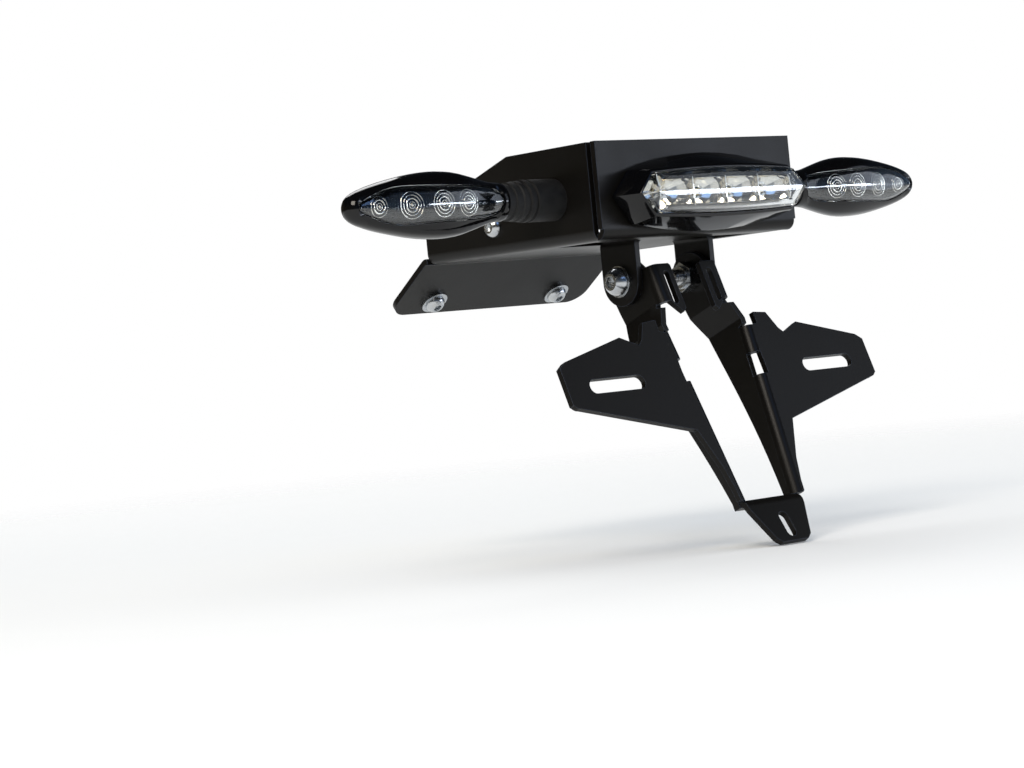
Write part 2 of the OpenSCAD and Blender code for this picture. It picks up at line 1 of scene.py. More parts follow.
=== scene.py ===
# %% [markdown]
# # Tail tidy in a small studio
# The object is a tail tidy: a folded sheet tray, a clear tail lamp on its rear
# plate, two indicators on rubber stalks and a folded number plate hanger that
# tilts on two pivot bolts. The folded sheets, nuts and washers come from the
# measured frame and only need their finishes. The lamp, the indicators and the
# bolts are rebuilt here with finer, rounder surfaces, because gloss, clear
# covers, bright optics and threads are what the eye goes to.

import math

import bmesh
import bpy
from mathutils import Matrix, Vector


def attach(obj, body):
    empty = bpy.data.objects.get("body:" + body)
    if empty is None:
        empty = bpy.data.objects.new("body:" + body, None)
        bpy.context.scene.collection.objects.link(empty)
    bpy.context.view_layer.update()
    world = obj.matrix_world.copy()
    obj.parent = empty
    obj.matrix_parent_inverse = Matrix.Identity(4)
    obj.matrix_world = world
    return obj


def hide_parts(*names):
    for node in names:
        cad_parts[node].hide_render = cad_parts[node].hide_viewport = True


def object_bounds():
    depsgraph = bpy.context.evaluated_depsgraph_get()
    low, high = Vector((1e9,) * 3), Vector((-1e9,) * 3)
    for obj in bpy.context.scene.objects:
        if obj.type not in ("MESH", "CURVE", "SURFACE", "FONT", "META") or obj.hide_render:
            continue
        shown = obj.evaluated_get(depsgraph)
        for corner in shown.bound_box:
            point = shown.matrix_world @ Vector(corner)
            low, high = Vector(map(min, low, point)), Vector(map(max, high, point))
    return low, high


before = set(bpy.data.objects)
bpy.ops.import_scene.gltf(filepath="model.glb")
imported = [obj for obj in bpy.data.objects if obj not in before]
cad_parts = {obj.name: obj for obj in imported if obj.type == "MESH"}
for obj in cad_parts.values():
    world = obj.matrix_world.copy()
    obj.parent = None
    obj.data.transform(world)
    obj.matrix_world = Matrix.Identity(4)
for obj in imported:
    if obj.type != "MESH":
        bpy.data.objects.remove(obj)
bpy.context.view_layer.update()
MM = 0.001

# %% [markdown]
# The drawing was laid out from the middle of the tray's rear lower edge, while
# the frame's origin is the seat on the front flange. One function takes a
# layout point in millimetres to the frame in metres, so every size below is
# one that could be measured on the real part.

# %% Layout helper
SEAT = Vector((0.0, 155.623, -14.538))


def at(x, y, z):
    """A layout point in millimetres as a frame point in metres."""
    return (Vector((x, y, z)) - SEAT) * MM


print("the tray's rear lower edge is at", tuple(round(c, 4) for c in at(0, 0, 0)))

# %% [markdown]
# ## Camera
# The camera was fitted to features of the photograph: bolts, slot ends and lamp
# corners. It looks from behind and to the left, almost level, and is rolled a
# little, with a long lens that keeps the far indicator nearly as large as the
# near one.

# %% Camera
CAMERA_PLACE = Vector((-0.9607, -1.0964, -0.0397))
camera_right = Vector((0.7458, -0.6590, -0.0971)).normalized()
camera_back = Vector((-0.6617, -0.7498, 0.0061))
camera_back = (camera_back - camera_back.dot(camera_right) * camera_right).normalized()
camera_up = camera_back.cross(camera_right)
camera_data = bpy.data.cameras.new("photo_camera")
camera_data.sensor_width = 36.0
camera_data.lens = 98.75
camera_data.clip_end = 50.0
camera = bpy.data.objects.new("photo_camera", camera_data)
camera.matrix_world = Matrix.Translation(CAMERA_PLACE) @ Matrix(
    (camera_right, camera_up, camera_back)).transposed().to_4x4()
bpy.context.scene.collection.objects.link(camera)
bpy.context.scene.camera = camera
bpy.context.scene.view_settings.view_transform = "Standard"
print("camera at", tuple(round(c, 3) for c in camera.location))

# %% [markdown]
# ## Colour and node helpers
# A material is a small network of nodes. One function adds a node, sets its
# values and links its inputs. Another turns the hex colours that a paint chart
# gives into the linear values that Blender works in, and a third turns the
# width of a pattern in millimetres into the scale that a texture node asks for.

# %% Colour and node helpers
NOISE, MIX, RANGE = "ShaderNodeTexNoise", "ShaderNodeMix", "ShaderNodeMapRange"
BUMP, MATH, BEVEL = "ShaderNodeBump", "ShaderNodeMath", "ShaderNodeBevel"
FACTOR, FIRST, SECOND, MIXED = 0, 6, 7, 2  # the Mix node's sockets for colours, and its output


def linear(hex_colour):
    """An sRGB hex colour as linear red, green, blue and alpha."""
    parts = [int(hex_colour[i:i + 2], 16) / 255 for i in (1, 3, 5)]
    return tuple(c / 12.92 if c <= 0.04045 else ((c + 0.055) / 1.055) ** 2.4 for c in parts) + (1.0,)


def per(size_mm):
    """The texture scale at which one pattern cell is size_mm wide."""
    return 1000.0 / size_mm


def feed(tree, node, links):
    """Links a node's inputs to outputs; a node stands for its first output."""
    for key, source in links.items():
        output = source if isinstance(source, bpy.types.NodeSocket) else source.outputs[0]
        tree.links.new(output, node.inputs[key])


def add_node(tree, kind, values=None, links=None):
    """Adds a node. values sets sockets or attributes; links feeds sockets."""
    node = tree.nodes.new(kind)
    for key, value in (values or {}).items():
        if isinstance(key, int) or key in node.inputs:
            node.inputs[key].default_value = value
        else:
            setattr(node, key, value)
    feed(tree, node, links or {})
    return node


def new_material(name, values):
    """A material with one shader, its tree and the object's own coordinates."""
    material = bpy.data.materials.new(name)
    material.use_nodes = True
    tree = material.node_tree
    tree.nodes.clear()
    shader = add_node(tree, "ShaderNodeBsdfPrincipled", values)
    add_node(tree, "ShaderNodeOutputMaterial", links={"Surface": shader})
    place = add_node(tree, "ShaderNodeTexCoord").outputs["Object"]
    return material, tree, shader, place


print("middle grey #808080 is", round(linear("#808080")[0], 3), "in linear light")

# %% [markdown]
# ## Powder-coated steel
# Tray and hanger are laser-cut, folded steel under black powder coat. Powder is
# melted on, so it flows into a faint orange peel about a millimetre wide, and
# it is a little thinner and shinier on edges. The peel is a shallow bump, the
# soft edge comes from the Bevel node, and the same node marks the edges, where
# a bluish grey is mixed into the coat as a painted highlight of the light that
# the cut edges catch. The powder's own grain, a tenth of a millimetre on the
# real coat, is drawn at 0.45 mm, or it would not show at all.

# %% Powder coat
powder_black, tree, shader, place = new_material("steel_powder_coated_black", {"Specular IOR Level": 0.18})
soft_edge = add_node(tree, BEVEL, {"samples": 4, "Radius": 0.45 * MM})
true_face = add_node(tree, "ShaderNodeNewGeometry").outputs["True Normal"]
flatness = add_node(tree, "ShaderNodeVectorMath", {"operation": "DOT_PRODUCT"},
                    {0: soft_edge, 1: true_face}).outputs["Value"]
edge = add_node(tree, RANGE, {"From Min": 0.80, "From Max": 0.985, "To Min": 1.0, "To Max": 0.0},
                {"Value": flatness})
# painted highlight: along the edges the coat is lightened towards bluish grey #465060, standing in for light caught by
# the cut edges
painted_edge_highlight = add_node(tree, MATH, {"operation": "MULTIPLY", 1: 0.75}, {0: edge})
cloud = add_node(tree, NOISE, {"Scale": per(38.0), "Detail": 3.0}, {"Vector": place})
coat = add_node(tree, MIX, {"data_type": "RGBA", FIRST: linear("#0b0a09"), SECOND: linear("#13110e")},
                {FACTOR: cloud}).outputs[MIXED]
colour = add_node(tree, MIX, {"data_type": "RGBA", SECOND: linear("#465060")},
                  {FACTOR: painted_edge_highlight, FIRST: coat}).outputs[MIXED]
grain = add_node(tree, NOISE, {"Scale": per(0.45), "Detail": 1.0}, {"Vector": place})
sheen = add_node(tree, RANGE, {"From Min": 0.3, "From Max": 0.7, "To Min": 0.25, "To Max": 0.33},
                 {"Value": cloud})
rough = add_node(tree, MATH, {"operation": "MULTIPLY_ADD", 1: 0.12}, {0: grain, 2: sheen})
flow = add_node(tree, NOISE, {"Scale": per(1.3)}, {"Vector": place})
peel = add_node(tree, BUMP, {"Strength": 0.5, "Distance": 0.05 * MM}, {"Height": flow, "Normal": soft_edge})
relief = add_node(tree, BUMP, {"Strength": 0.4, "Distance": 0.012 * MM}, {"Height": grain, "Normal": peel})
feed(tree, shader, {"Base Color": colour, "Roughness": rough, "Normal": relief})
print(powder_black.name, len(tree.nodes), "nodes")

# %% [markdown]
# ## Zinc-plated steel
# Bolts, washers and nuts are cold-formed steel with clear zinc plating. The
# plating is a bright grey metal with a faint blue and straw tint in patches,
# and fine marks from the dies that scatter the highlight a little.

# %% Zinc plating
zinc_steel, tree, shader, place = new_material("steel_zinc_plated", {"Metallic": 1.0})
patches = add_node(tree, NOISE, {"Scale": per(4.0)}, {"Vector": place})
tint = add_node(tree, MIX, {"data_type": "RGBA", FIRST: linear("#b4bbc4"), SECOND: linear("#c8c7c3")},
                {FACTOR: patches}).outputs[MIXED]
marks = add_node(tree, NOISE, {"Scale": per(0.5), "Detail": 3.0}, {"Vector": place})
rough = add_node(tree, RANGE, {"From Min": 0.3, "From Max": 0.7, "To Min": 0.13, "To Max": 0.28},
                 {"Value": marks})
soft_edge = add_node(tree, BEVEL, {"samples": 4, "Radius": 0.25 * MM})
relief = add_node(tree, BUMP, {"Strength": 0.5, "Distance": 0.01 * MM}, {"Height": marks, "Normal": soft_edge})
feed(tree, shader, {"Base Color": tint, "Roughness": rough, "Normal": relief})
print(zinc_steel.name, len(tree.nodes), "nodes")

# %% [markdown]
# ## Gloss black ABS
# The lamp and indicator housings are injection-moulded ABS from a polished
# mould: almost a mirror, black all the way through. Only a long, shallow
# waviness from shrinkage and a little settled dust keep it from looking ideal.

# %% Gloss ABS
black_plastic, tree, shader, place = new_material("abs_moulded_gloss_black",
                                                  {"IOR": 1.53, "Specular IOR Level": 0.34})
dust = add_node(tree, NOISE, {"Scale": per(0.7), "Detail": 4.0, "Roughness": 0.7}, {"Vector": place})
settled = add_node(tree, RANGE, {"From Min": 0.62, "From Max": 0.8, "To Min": 0.0, "To Max": 0.6},
                   {"Value": dust})
colour = add_node(tree, MIX, {"data_type": "RGBA", FIRST: linear("#060607"), SECOND: linear("#26241f")},
                  {FACTOR: settled}).outputs[MIXED]
rough = add_node(tree, RANGE, {"From Min": 0.5, "From Max": 0.85, "To Min": 0.07, "To Max": 0.2},
                 {"Value": dust})
wave = add_node(tree, NOISE, {"Scale": per(9.0), "Detail": 1.0}, {"Vector": place})
relief = add_node(tree, BUMP, {"Strength": 0.5, "Distance": 0.03 * MM}, {"Height": wave})
feed(tree, shader, {"Base Color": colour, "Roughness": rough, "Normal": relief})
print(black_plastic.name, len(tree.nodes), "nodes")

# %% [markdown]
# ## Clear polycarbonate
# The covers are clear polycarbonate, moulded about 1.5 mm thick. It bends
# light like glass (IOR 1.58) and is perfectly clear; a very shallow waviness
# makes the optics behind it swim a little, as they do in a real cover.

# %% Clear cover
clear_plastic, tree, shader, place = new_material("polycarbonate_moulded_clear", {
    "Base Color": linear("#f7fafb"), "Transmission Weight": 1.0, "IOR": 1.58, "Roughness": 0.015})
wave = add_node(tree, NOISE, {"Scale": per(8.0), "Detail": 1.0}, {"Vector": place})
relief = add_node(tree, BUMP, {"Strength": 0.4, "Distance": 0.04 * MM}, {"Height": wave})
feed(tree, shader, {"Normal": relief})
print(clear_plastic.name, len(tree.nodes), "nodes")

# %% [markdown]
# ## Vacuum-metallised reflector
# Reflectors are plastic with a breath of aluminium condensed on them in a
# vacuum. The metal copies the mould: mirror-bright, with a faint haze.

# %% Metallised reflector
bright_reflector, tree, shader, place = new_material("aluminium_vacuum_metallised", {
    "Base Color": linear("#ebe6dc"), "Metallic": 1.0})
haze = add_node(tree, NOISE, {"Scale": per(2.5), "Detail": 3.0}, {"Vector": place})
rough = add_node(tree, RANGE, {"From Min": 0.3, "From Max": 0.7, "To Min": 0.03, "To Max": 0.12},
                 {"Value": haze})
wave = add_node(tree, NOISE, {"Scale": per(3.0), "Detail": 1.0}, {"Vector": place})
relief = add_node(tree, BUMP, {"Strength": 0.5, "Distance": 0.05 * MM}, {"Height": wave})
feed(tree, shader, {"Roughness": rough, "Normal": relief})
print(bright_reflector.name, len(tree.nodes), "nodes")

# %% [markdown]
# ## Circuit board
# The boards are glass-fibre laminate under green solder mask. Copper tracks
# under the mask show as slightly lighter bands, which a brick pattern of 4 mm
# rows gives, and the weave of the laminate is a faint bump.

# %% Circuit board
circuit_board, tree, shader, place = new_material("glass_fibre_board_masked", {"Roughness": 0.35})
tracks = add_node(tree, "ShaderNodeTexBrick", {
    "Color1": linear("#123420"), "Color2": linear("#164028"), "Mortar": linear("#0d2417"),
    "Scale": per(4.0) * 0.5, "Mortar Size": 0.02}, {"Vector": place})
weave = add_node(tree, NOISE, {"Scale": per(0.6)}, {"Vector": place})
relief = add_node(tree, BUMP, {"Strength": 0.4, "Distance": 0.01 * MM}, {"Height": weave})
feed(tree, shader, {"Base Color": tracks, "Normal": relief})
print(circuit_board.name, len(tree.nodes), "nodes")

# %% [markdown]
# ## Light chips
# Each chip is white ceramic with a yellow phosphor that covers the blue die.
# Phosphor is a powder in silicone, so its colour and its skin are grainy.

# %% Light chips
led, tree, shader, place = new_material("phosphor_on_ceramic", {"Roughness": 0.4})
grain = add_node(tree, NOISE, {"Scale": per(0.5), "Detail": 3.0}, {"Vector": place})
colour = add_node(tree, MIX, {"data_type": "RGBA", FIRST: linear("#e9c35a"), SECOND: linear("#f2dd9a")},
                  {FACTOR: grain}).outputs[MIXED]
relief = add_node(tree, BUMP, {"Strength": 0.5, "Distance": 0.02 * MM}, {"Height": grain})
feed(tree, shader, {"Base Color": colour, "Normal": relief})
print(led.name, len(tree.nodes), "nodes")

# %% [markdown]
# ## Black rubber
# Stalks, gasket and grommet are moulded EPDM rubber: soft black, nearly
# without gloss, with a grey bloom in patches and a fine pebbled skin.

# %% Rubber
black_rubber, tree, shader, place = new_material("epdm_rubber_moulded_black", {"Specular IOR Level": 0.35})
bloom = add_node(tree, NOISE, {"Scale": per(6.0), "Detail": 4.0, "Roughness": 0.6}, {"Vector": place})
patches = add_node(tree, RANGE, {"From Min": 0.35, "From Max": 0.75, "To Min": 0.0, "To Max": 1.0},
                   {"Value": bloom})
colour = add_node(tree, MIX, {"data_type": "RGBA", FIRST: linear("#0c0c0d"), SECOND: linear("#1c1c1b")},
                  {FACTOR: patches}).outputs[MIXED]
rough = add_node(tree, RANGE, {"From Min": 0.3, "From Max": 0.7, "To Min": 0.55, "To Max": 0.72},
                 {"Value": bloom})
pebbles = add_node(tree, NOISE, {"Scale": per(0.5)}, {"Vector": place})
relief = add_node(tree, BUMP, {"Strength": 0.5, "Distance": 0.03 * MM}, {"Height": pebbles})
feed(tree, shader, {"Base Color": colour, "Roughness": rough, "Normal": relief})
print(black_rubber.name, len(tree.nodes), "nodes")

# %% [markdown]
# ## Finishes on the frame's nodes
# The record gives each node of the frame a finish. The node's own name says
# which, because it holds the word for what the piece is, so the materials are
# handed out by that word. The shapes stay untouched.

# %% Hand out the finishes
FINISHES = {
    "powder_black": powder_black, "zinc_steel": zinc_steel, "black_plastic": black_plastic,
    "clear_plastic": clear_plastic, "bright_reflector": bright_reflector,
    "circuit_board": circuit_board, "led": led, "black_rubber": black_rubber,
}
FINISH_OF = {
    "tray": "powder_black", "plate_hanger": "powder_black", "bolt": "zinc_steel", "washer": "zinc_steel",
    "nut": "zinc_steel", "nuts": "zinc_steel", "housing": "black_plastic", "reflector": "bright_reflector",
    "lens": "clear_plastic", "board": "circuit_board", "leds": "led", "gasket": "black_rubber",
    "grommet": "black_rubber", "stalk": "black_rubber",
}


def finish_for(node_name):
    """The record's slot for a frame node, worked out from what the node is."""
    if node_name in FINISH_OF:
        return FINISH_OF[node_name]
    return next(FINISH_OF[word] for word in node_name.split("_") if word in FINISH_OF)


for node_name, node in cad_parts.items():
    node.data.materials.clear()
    node.data.materials.append(FINISHES[finish_for(node_name)])
print("finished", len(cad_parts), "nodes")

# %% [markdown]
# ## Choosing, copying and joining
# An operator acts on all that is selected, so each step first chooses what it
# works on. What repeats is modelled once and copied, and each copy gets a mesh
# of its own. A copy for the other side is turned inside out by the mirroring,
# so its faces are flipped back.

# %% Choosing, copying and joining
def deselect():
    """Starts a step from nothing."""
    bpy.ops.object.select_all(action="DESELECT")


def choose(piece):
    """Makes one piece the only one selected, and the active one."""
    deselect()
    piece.select_set(True)
    bpy.context.view_layer.objects.active = piece


def placed():
    """The primitive that was just added, with its place put into its mesh."""
    bpy.ops.object.transform_apply(location=True, rotation=True, scale=True)
    return bpy.context.object


def copied(piece, sideways=0.0):
    """A copy with its own mesh, moved along X by a distance in millimetres."""
    twin = piece.copy()
    twin.data = piece.data.copy()
    bpy.context.scene.collection.objects.link(twin)
    choose(twin)
    bpy.ops.transform.translate(value=(sideways * MM, 0, 0))
    return placed()


def mirrored(piece):
    """A copy for the other side, right way out."""
    twin = copied(piece)
    bpy.ops.object.mode_set(mode="EDIT")
    bpy.ops.mesh.select_all(action="SELECT")
    bpy.ops.transform.resize(value=(-1, 1, 1), center_override=(0, 0, 0))
    bpy.ops.mesh.flip_normals()
    bpy.ops.object.mode_set(mode="OBJECT")
    return twin


def join_to(piece, extra):
    """Makes a second mesh part of a piece."""
    choose(piece)
    extra.select_set(True)
    bpy.ops.object.join()


# %% [markdown]
# ## Modifiers and finished pieces
# A modifier is used like a tool on the bench: put on, set and applied. Every
# finished piece then gets its name, its finish, smooth shading up to a chosen
# angle and the body that it moves with, and hides the plain node that it
# stands for.

# %% Modifiers and finished pieces
def use_modifier(piece, kind, **settings):
    """Adds a modifier and applies it at once."""
    choose(piece)
    modifier = piece.modifiers.new(kind.lower(), kind)
    for key, value in settings.items():
        setattr(modifier, key, value)
    bpy.ops.object.modifier_apply(modifier=modifier.name)


def bevel_ridges(piece, width_mm, sharper_than=30):
    """Rounds every ridge that turns by more than an angle in degrees."""
    use_modifier(piece, "BEVEL", width=width_mm * MM, segments=2, limit_method="ANGLE",
                 angle_limit=math.radians(sharper_than))


def finish_piece(piece, name, slot, body="carrier", replaced=(), smooth=35):
    """Names a finished piece, gives it its finish and hangs it on its body."""
    piece.name = piece.data.name = name
    piece.data.materials.clear()
    piece.data.materials.append(FINISHES[slot])
    choose(piece)
    bpy.ops.object.shade_smooth_by_angle(angle=math.radians(smooth))
    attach(piece, body)
    if replaced:
        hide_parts(*replaced)
    print(name, len(piece.data.polygons), "faces")
    return piece


# %% [markdown]
# ## Building skins from rings
# Moulded forms are easiest to think of as rings: closed loops of corners, one
# behind the other, with skin stretched between them. The first ring is a circle
# primitive and each next one is extruded from the last, so that its corners
# stay paired; then they are moved to their places. A path of rings that turns
# back on itself gives a wall with two sides, closed at both ends.

# %% Skins from rings
def choose_corners(piece, numbers):
    """Selects corners of the mesh in edit mode by their numbers."""
    bpy.ops.mesh.select_all(action="DESELECT")
    mesh = bmesh.from_edit_mesh(piece.data)
    mesh.verts.ensure_lookup_table()
    for number in numbers:
        mesh.verts[number].select = True
    mesh.select_flush_mode()
    return mesh


def skin(rings):
    """One closed mesh through rings of equally many layout points."""
    deselect()
    count = len(rings[0])
    bpy.ops.mesh.primitive_circle_add(vertices=count, radius=MM)
    piece = bpy.context.object
    bpy.ops.object.mode_set(mode="EDIT")
    bpy.ops.mesh.select_mode(type="VERT")
    for index, ring in enumerate(rings):
        if index:
            choose_corners(piece, range((index - 1) * count, index * count))
            bpy.ops.mesh.extrude_edges_move()
        for corner, point in enumerate(ring):
            number = index * count + corner
            mesh = choose_corners(piece, [number])
            bpy.ops.transform.translate(value=at(*point) - mesh.verts[number].co)
    for index in (0, len(rings) - 1):
        choose_corners(piece, range(index * count, (index + 1) * count))
        bpy.ops.mesh.edge_face_add()
    bpy.ops.mesh.select_all(action="SELECT")
    bpy.ops.mesh.normals_make_consistent(inside=False)
    bpy.ops.object.mode_set(mode="OBJECT")
    return piece


print("skins can be stretched over rings")

# %% [markdown]
# ## Lamp outlines
# The lamp housing and its lens are long hexagons with gently arched upper and
# lower edges. All outlines have the same number of corners, so that a ring of
# one can be paired with a ring of another.

# %% Lamp outlines
LAMP_Z = 19.5  # height of the lamp's middle over the tray's floor
ARCH_STEPS = 8


def arched_outline(half_width, shoulder_x, top, top_shoulder, bottom, bottom_shoulder):
    """Corners of a hexagon with arched long sides, as (x, z) pairs."""
    upper, lower = [], []
    for step in range(ARCH_STEPS + 1):
        x = shoulder_x * (2 * step / ARCH_STEPS - 1)
        bow = 1 - (x / shoulder_x) ** 2
        upper.append((x, top_shoulder + (top - top_shoulder) * bow))
        lower.append((-x, bottom_shoulder + (bottom - bottom_shoulder) * bow))
    return [(-half_width, 0.0)] + upper + [(half_width, 0.0)] + lower


def lamp_ring(y, outline):
    """An outline as a ring at depth y; the rear plate's face is at zero."""
    return [(x, y, LAMP_Z + z) for x, z in outline]


def grown(outline, margin):
    """An outline moved outwards by about a margin."""
    half_x = max(x for x, z in outline)
    half_z = max(z for x, z in outline)
    return [(x * (half_x + margin) / half_x, z * (half_z + margin) / half_z) for x, z in outline]


HOUSING = arched_outline(59.0, 48.0, 19.2, 12.0, -18.2, -13.2)
RIM = arched_outline(54.8, 46.4, 12.3, 10.6, -12.3, -11.0)
LENS = arched_outline(53.5, 45.5, 10.5, 9.0, -10.5, -9.3)
print("lamp", 2 * HOUSING[ARCH_STEPS + 2][0], "mm wide,", len(HOUSING), "corners in a ring")

# %% [markdown]
# ## Tail lamp housing
# The housing tapers from its wide foot on the rear plate to a rim around the
# lens, with a ridge from each pointed end to the lens corner. Inside the rim
# is a ledge for the lens and a pocket for the reflector. A small bevel gives
# every ridge the thin bright line that moulded gloss plastic has.

# %% Lamp housing
lamp_shell = skin([
    lamp_ring(-1.2, HOUSING),
    lamp_ring(-4.2, HOUSING),
    lamp_ring(-16.0, RIM),
    lamp_ring(-16.5, grown(LENS, 0.9)),
    lamp_ring(-16.5, grown(LENS, 0.3)),
    lamp_ring(-14.2, grown(LENS, 0.3)),
    lamp_ring(-13.6, grown(LENS, -1.5)),
    lamp_ring(-4.3, grown(LENS, -1.7)),
])
bevel_ridges(lamp_shell, 0.35, 25)
print("housing", len(lamp_shell.data.polygons), "faces")

# %% [markdown]
# Two studs pass through the rear plate to the nuts behind it. They are moulded
# into the housing, so they join its mesh.

# %% Lamp studs
STUD_X, STUD_R, STUD_LENGTH = 32.0, 2.5, 12.8
deselect()
bpy.ops.mesh.primitive_cylinder_add(vertices=32, radius=STUD_R * MM, depth=STUD_LENGTH * MM,
                                    location=at(-STUD_X, 5.9, LAMP_Z), rotation=(math.pi / 2, 0, 0))
stud = placed()
bevel_ridges(stud, 0.5)
other_stud = copied(stud, 2 * STUD_X)
join_to(lamp_shell, stud)
join_to(lamp_shell, other_stud)
finish_piece(lamp_shell, "lamp_shell", "black_plastic", replaced=["lamp_housing"])

# %% [markdown]
# ## Tail lamp cover
# The clear cover stands proud of the rim and rounds off towards its edge. It
# is one skin that runs over the outside, turns at the edge and comes back on
# the inside, 1.8 mm further in.

# %% Lamp cover
# depth, and how far the outline has drawn in there
LENS_STEPS = [(-14.4, 0.0), (-18.2, 0.0), (-20.4, 0.6), (-21.6, 1.7), (-22.2, 3.2), (-22.5, 5.2)]
LENS_WALL, LENS_EDGE = 1.8, 0.7
ROUNDED_FROM = -20
outer_rings = [lamp_ring(y, grown(LENS, -inset)) for y, inset in reversed(LENS_STEPS)]
inner_rings = [lamp_ring(y + (LENS_WALL if y < ROUNDED_FROM else LENS_EDGE), grown(LENS, -inset - LENS_WALL))
               for y, inset in LENS_STEPS]
lamp_cover = skin(outer_rings + inner_rings)
bevel_ridges(lamp_cover, 0.3)
finish_piece(lamp_cover, "lamp_cover", "clear_plastic", replaced=["lamp_lens"], smooth=40)

# %% [markdown]
# ## Tail lamp reflector
# Four square cells stand side by side, each with a bowl of flat facets around
# its light. The block is a skin, and the bowls are cut out of it.

# %% Reflector block
lamp_mirror = skin([
    lamp_ring(-6.5, grown(LENS, -2.2)),
    lamp_ring(-14.0, grown(LENS, -2.2)),
    lamp_ring(-15.2, grown(LENS, -3.0)),
])
print("reflector block", len(lamp_mirror.data.polygons), "faces")

# %% [markdown]
# The cutter for a bowl is a sphere of few faces, which gives the facets, with
# its four sides sliced off so that the bowl comes out square. It is modelled
# once and copied to each cell, and so is the hole for the light.

# %% Bowls and light holes
CELL_X = (-33.0, -11.0, 11.0, 33.0)
BOWL_R, BOWL_Y = 13.6, -20.6
LIGHT_HOLE_R, LIGHT_HOLE_DEPTH, LIGHT_HOLE_Y = 2.6, 12, -9.0
# the direction of each cut, and how far from the middle it is
BOWL_SIDES = (((1, 0, 0), 10.6), ((-1, 0, 0), 10.6), ((0, 0, 1), 7.2), ((0, 0, -1), 7.2))


def cut_with(piece, cutter):
    """Takes one closed mesh out of another."""
    use_modifier(piece, "BOOLEAN", operation="DIFFERENCE", object=cutter, solver="EXACT")
    bpy.data.objects.remove(cutter)


deselect()
middle = at(CELL_X[0], BOWL_Y, LAMP_Z)
bpy.ops.mesh.primitive_uv_sphere_add(segments=11, ring_count=10, radius=BOWL_R * MM, location=middle,
                                     rotation=(math.pi / 2, 0, 0))
bowl = placed()
bpy.ops.object.mode_set(mode="EDIT")
for direction, reach in BOWL_SIDES:
    bpy.ops.mesh.select_all(action="SELECT")
    bpy.ops.mesh.bisect(plane_co=middle + Vector(direction) * reach * MM, plane_no=direction, use_fill=True,
                        clear_outer=True)
bpy.ops.object.mode_set(mode="OBJECT")
deselect()
bpy.ops.mesh.primitive_cylinder_add(vertices=24, radius=LIGHT_HOLE_R * MM, depth=LIGHT_HOLE_DEPTH * MM,
                                    location=at(CELL_X[0], LIGHT_HOLE_Y, LAMP_Z), rotation=(math.pi / 2, 0, 0))
light_hole = placed()
for cutter_x in CELL_X:
    cut_with(lamp_mirror, copied(bowl, cutter_x - CELL_X[0]))
    cut_with(lamp_mirror, copied(light_hole, cutter_x - CELL_X[0]))
for cutter in (bowl, light_hole):
    bpy.data.objects.remove(cutter)
print(len(CELL_X), "bowls,", len(lamp_mirror.data.polygons), "faces")

# %% [markdown]
# Each pointed end of the block is hollowed by a square pyramid, and the edges
# between the facets get a very small bevel that catches the light.

# %% Pointed ends
END_X, END_Y, PYRAMID_R, PYRAMID_DEPTH = 46.6, -12.3, 7.0, 6.0
deselect()
bpy.ops.mesh.primitive_cone_add(vertices=4, radius1=PYRAMID_R * MM, depth=PYRAMID_DEPTH * MM, end_fill_type="NGON",
                                location=at(-END_X, END_Y, LAMP_Z), rotation=(-math.pi / 2, 0, 0))
left_end = placed()
right_end = copied(left_end, 2 * END_X)
cut_with(lamp_mirror, left_end)
cut_with(lamp_mirror, right_end)
bevel_ridges(lamp_mirror, 0.22, 50)
print("reflector", len(lamp_mirror.data.polygons), "faces")

# %% [markdown]
# Thin upright walls part the cells, and one more closes each end of the row.

# %% Cell walls
WALL_X = (-44.0, -22.0, 0.0, 22.0, 44.0)
WALL_SIZE = Vector((0.6, 2.6, 15.2))
deselect()
bpy.ops.mesh.primitive_cube_add(size=1.0, location=at(WALL_X[0], -16.0, LAMP_Z), scale=WALL_SIZE * MM)
first_wall = placed()
for wall in [first_wall] + [copied(first_wall, wall_x - WALL_X[0]) for wall_x in WALL_X[1:]]:
    join_to(lamp_mirror, wall)
finish_piece(lamp_mirror, "lamp_mirror", "bright_reflector", replaced=["lamp_reflector"], smooth=8)

# %% [markdown]
# ## Indicator form
# An indicator is a teardrop: it swells from the stalk to a belly and narrows
# to a blunt tip. Its rear has a slanted band that frames a long clear window.
# The form is written down as stations along its length, and every ring between
# them is found by smooth interpolation.

# %% Indicator stations
INDICATOR_MID = Vector((99.5, 32.0, 22.0))
# distance from the stalk end, half height, half depth
BODY = [(0, 9.0, 8.4), (8, 9.8, 9.2), (18, 12.3, 11.2), (28, 14.6, 12.8), (38, 15.4, 13.4), (48, 15.0, 13.1),
        (58, 13.8, 12.1), (68, 12.0, 10.7), (76, 10.2, 9.2), (82, 8.5, 7.8), (86, 7.0, 6.5), (88.8, 5.2, 4.9),
        (90.3, 3.2, 3.0), (91, 1.3, 1.2)]
# distance from the stalk end, half height of the window, half height of the band
WINDOW = [(3, 1.0, 2.0), (4, 3.6, 5.4), (6, 5.4, 8.0), (9, 6.5, 9.6), (14, 7.5, 11.0), (28, 8.2, 13.0),
          (44, 8.7, 13.2), (58, 9.1, 12.0), (65, 8.9, 10.9), (73, 7.4, 9.4), (80, 4.9, 7.6), (84, 3.3, 5.6),
          (86, 1.9, 4.0), (87.2, 0.6, 2.2)]
HIGH, DEEP = 1, 2  # the columns of BODY
GLAZED, BAND = 1, 2  # the columns of WINDOW
print("indicator", BODY[-1][0], "mm long, window", round(WINDOW[-1][0] - WINDOW[0][0], 1), "mm")

# %% [markdown]
# Three small functions read the tables: one gives a smooth value between two
# stations, one the depth of the round body at a height, and one puts a point
# of the indicator into the layout.

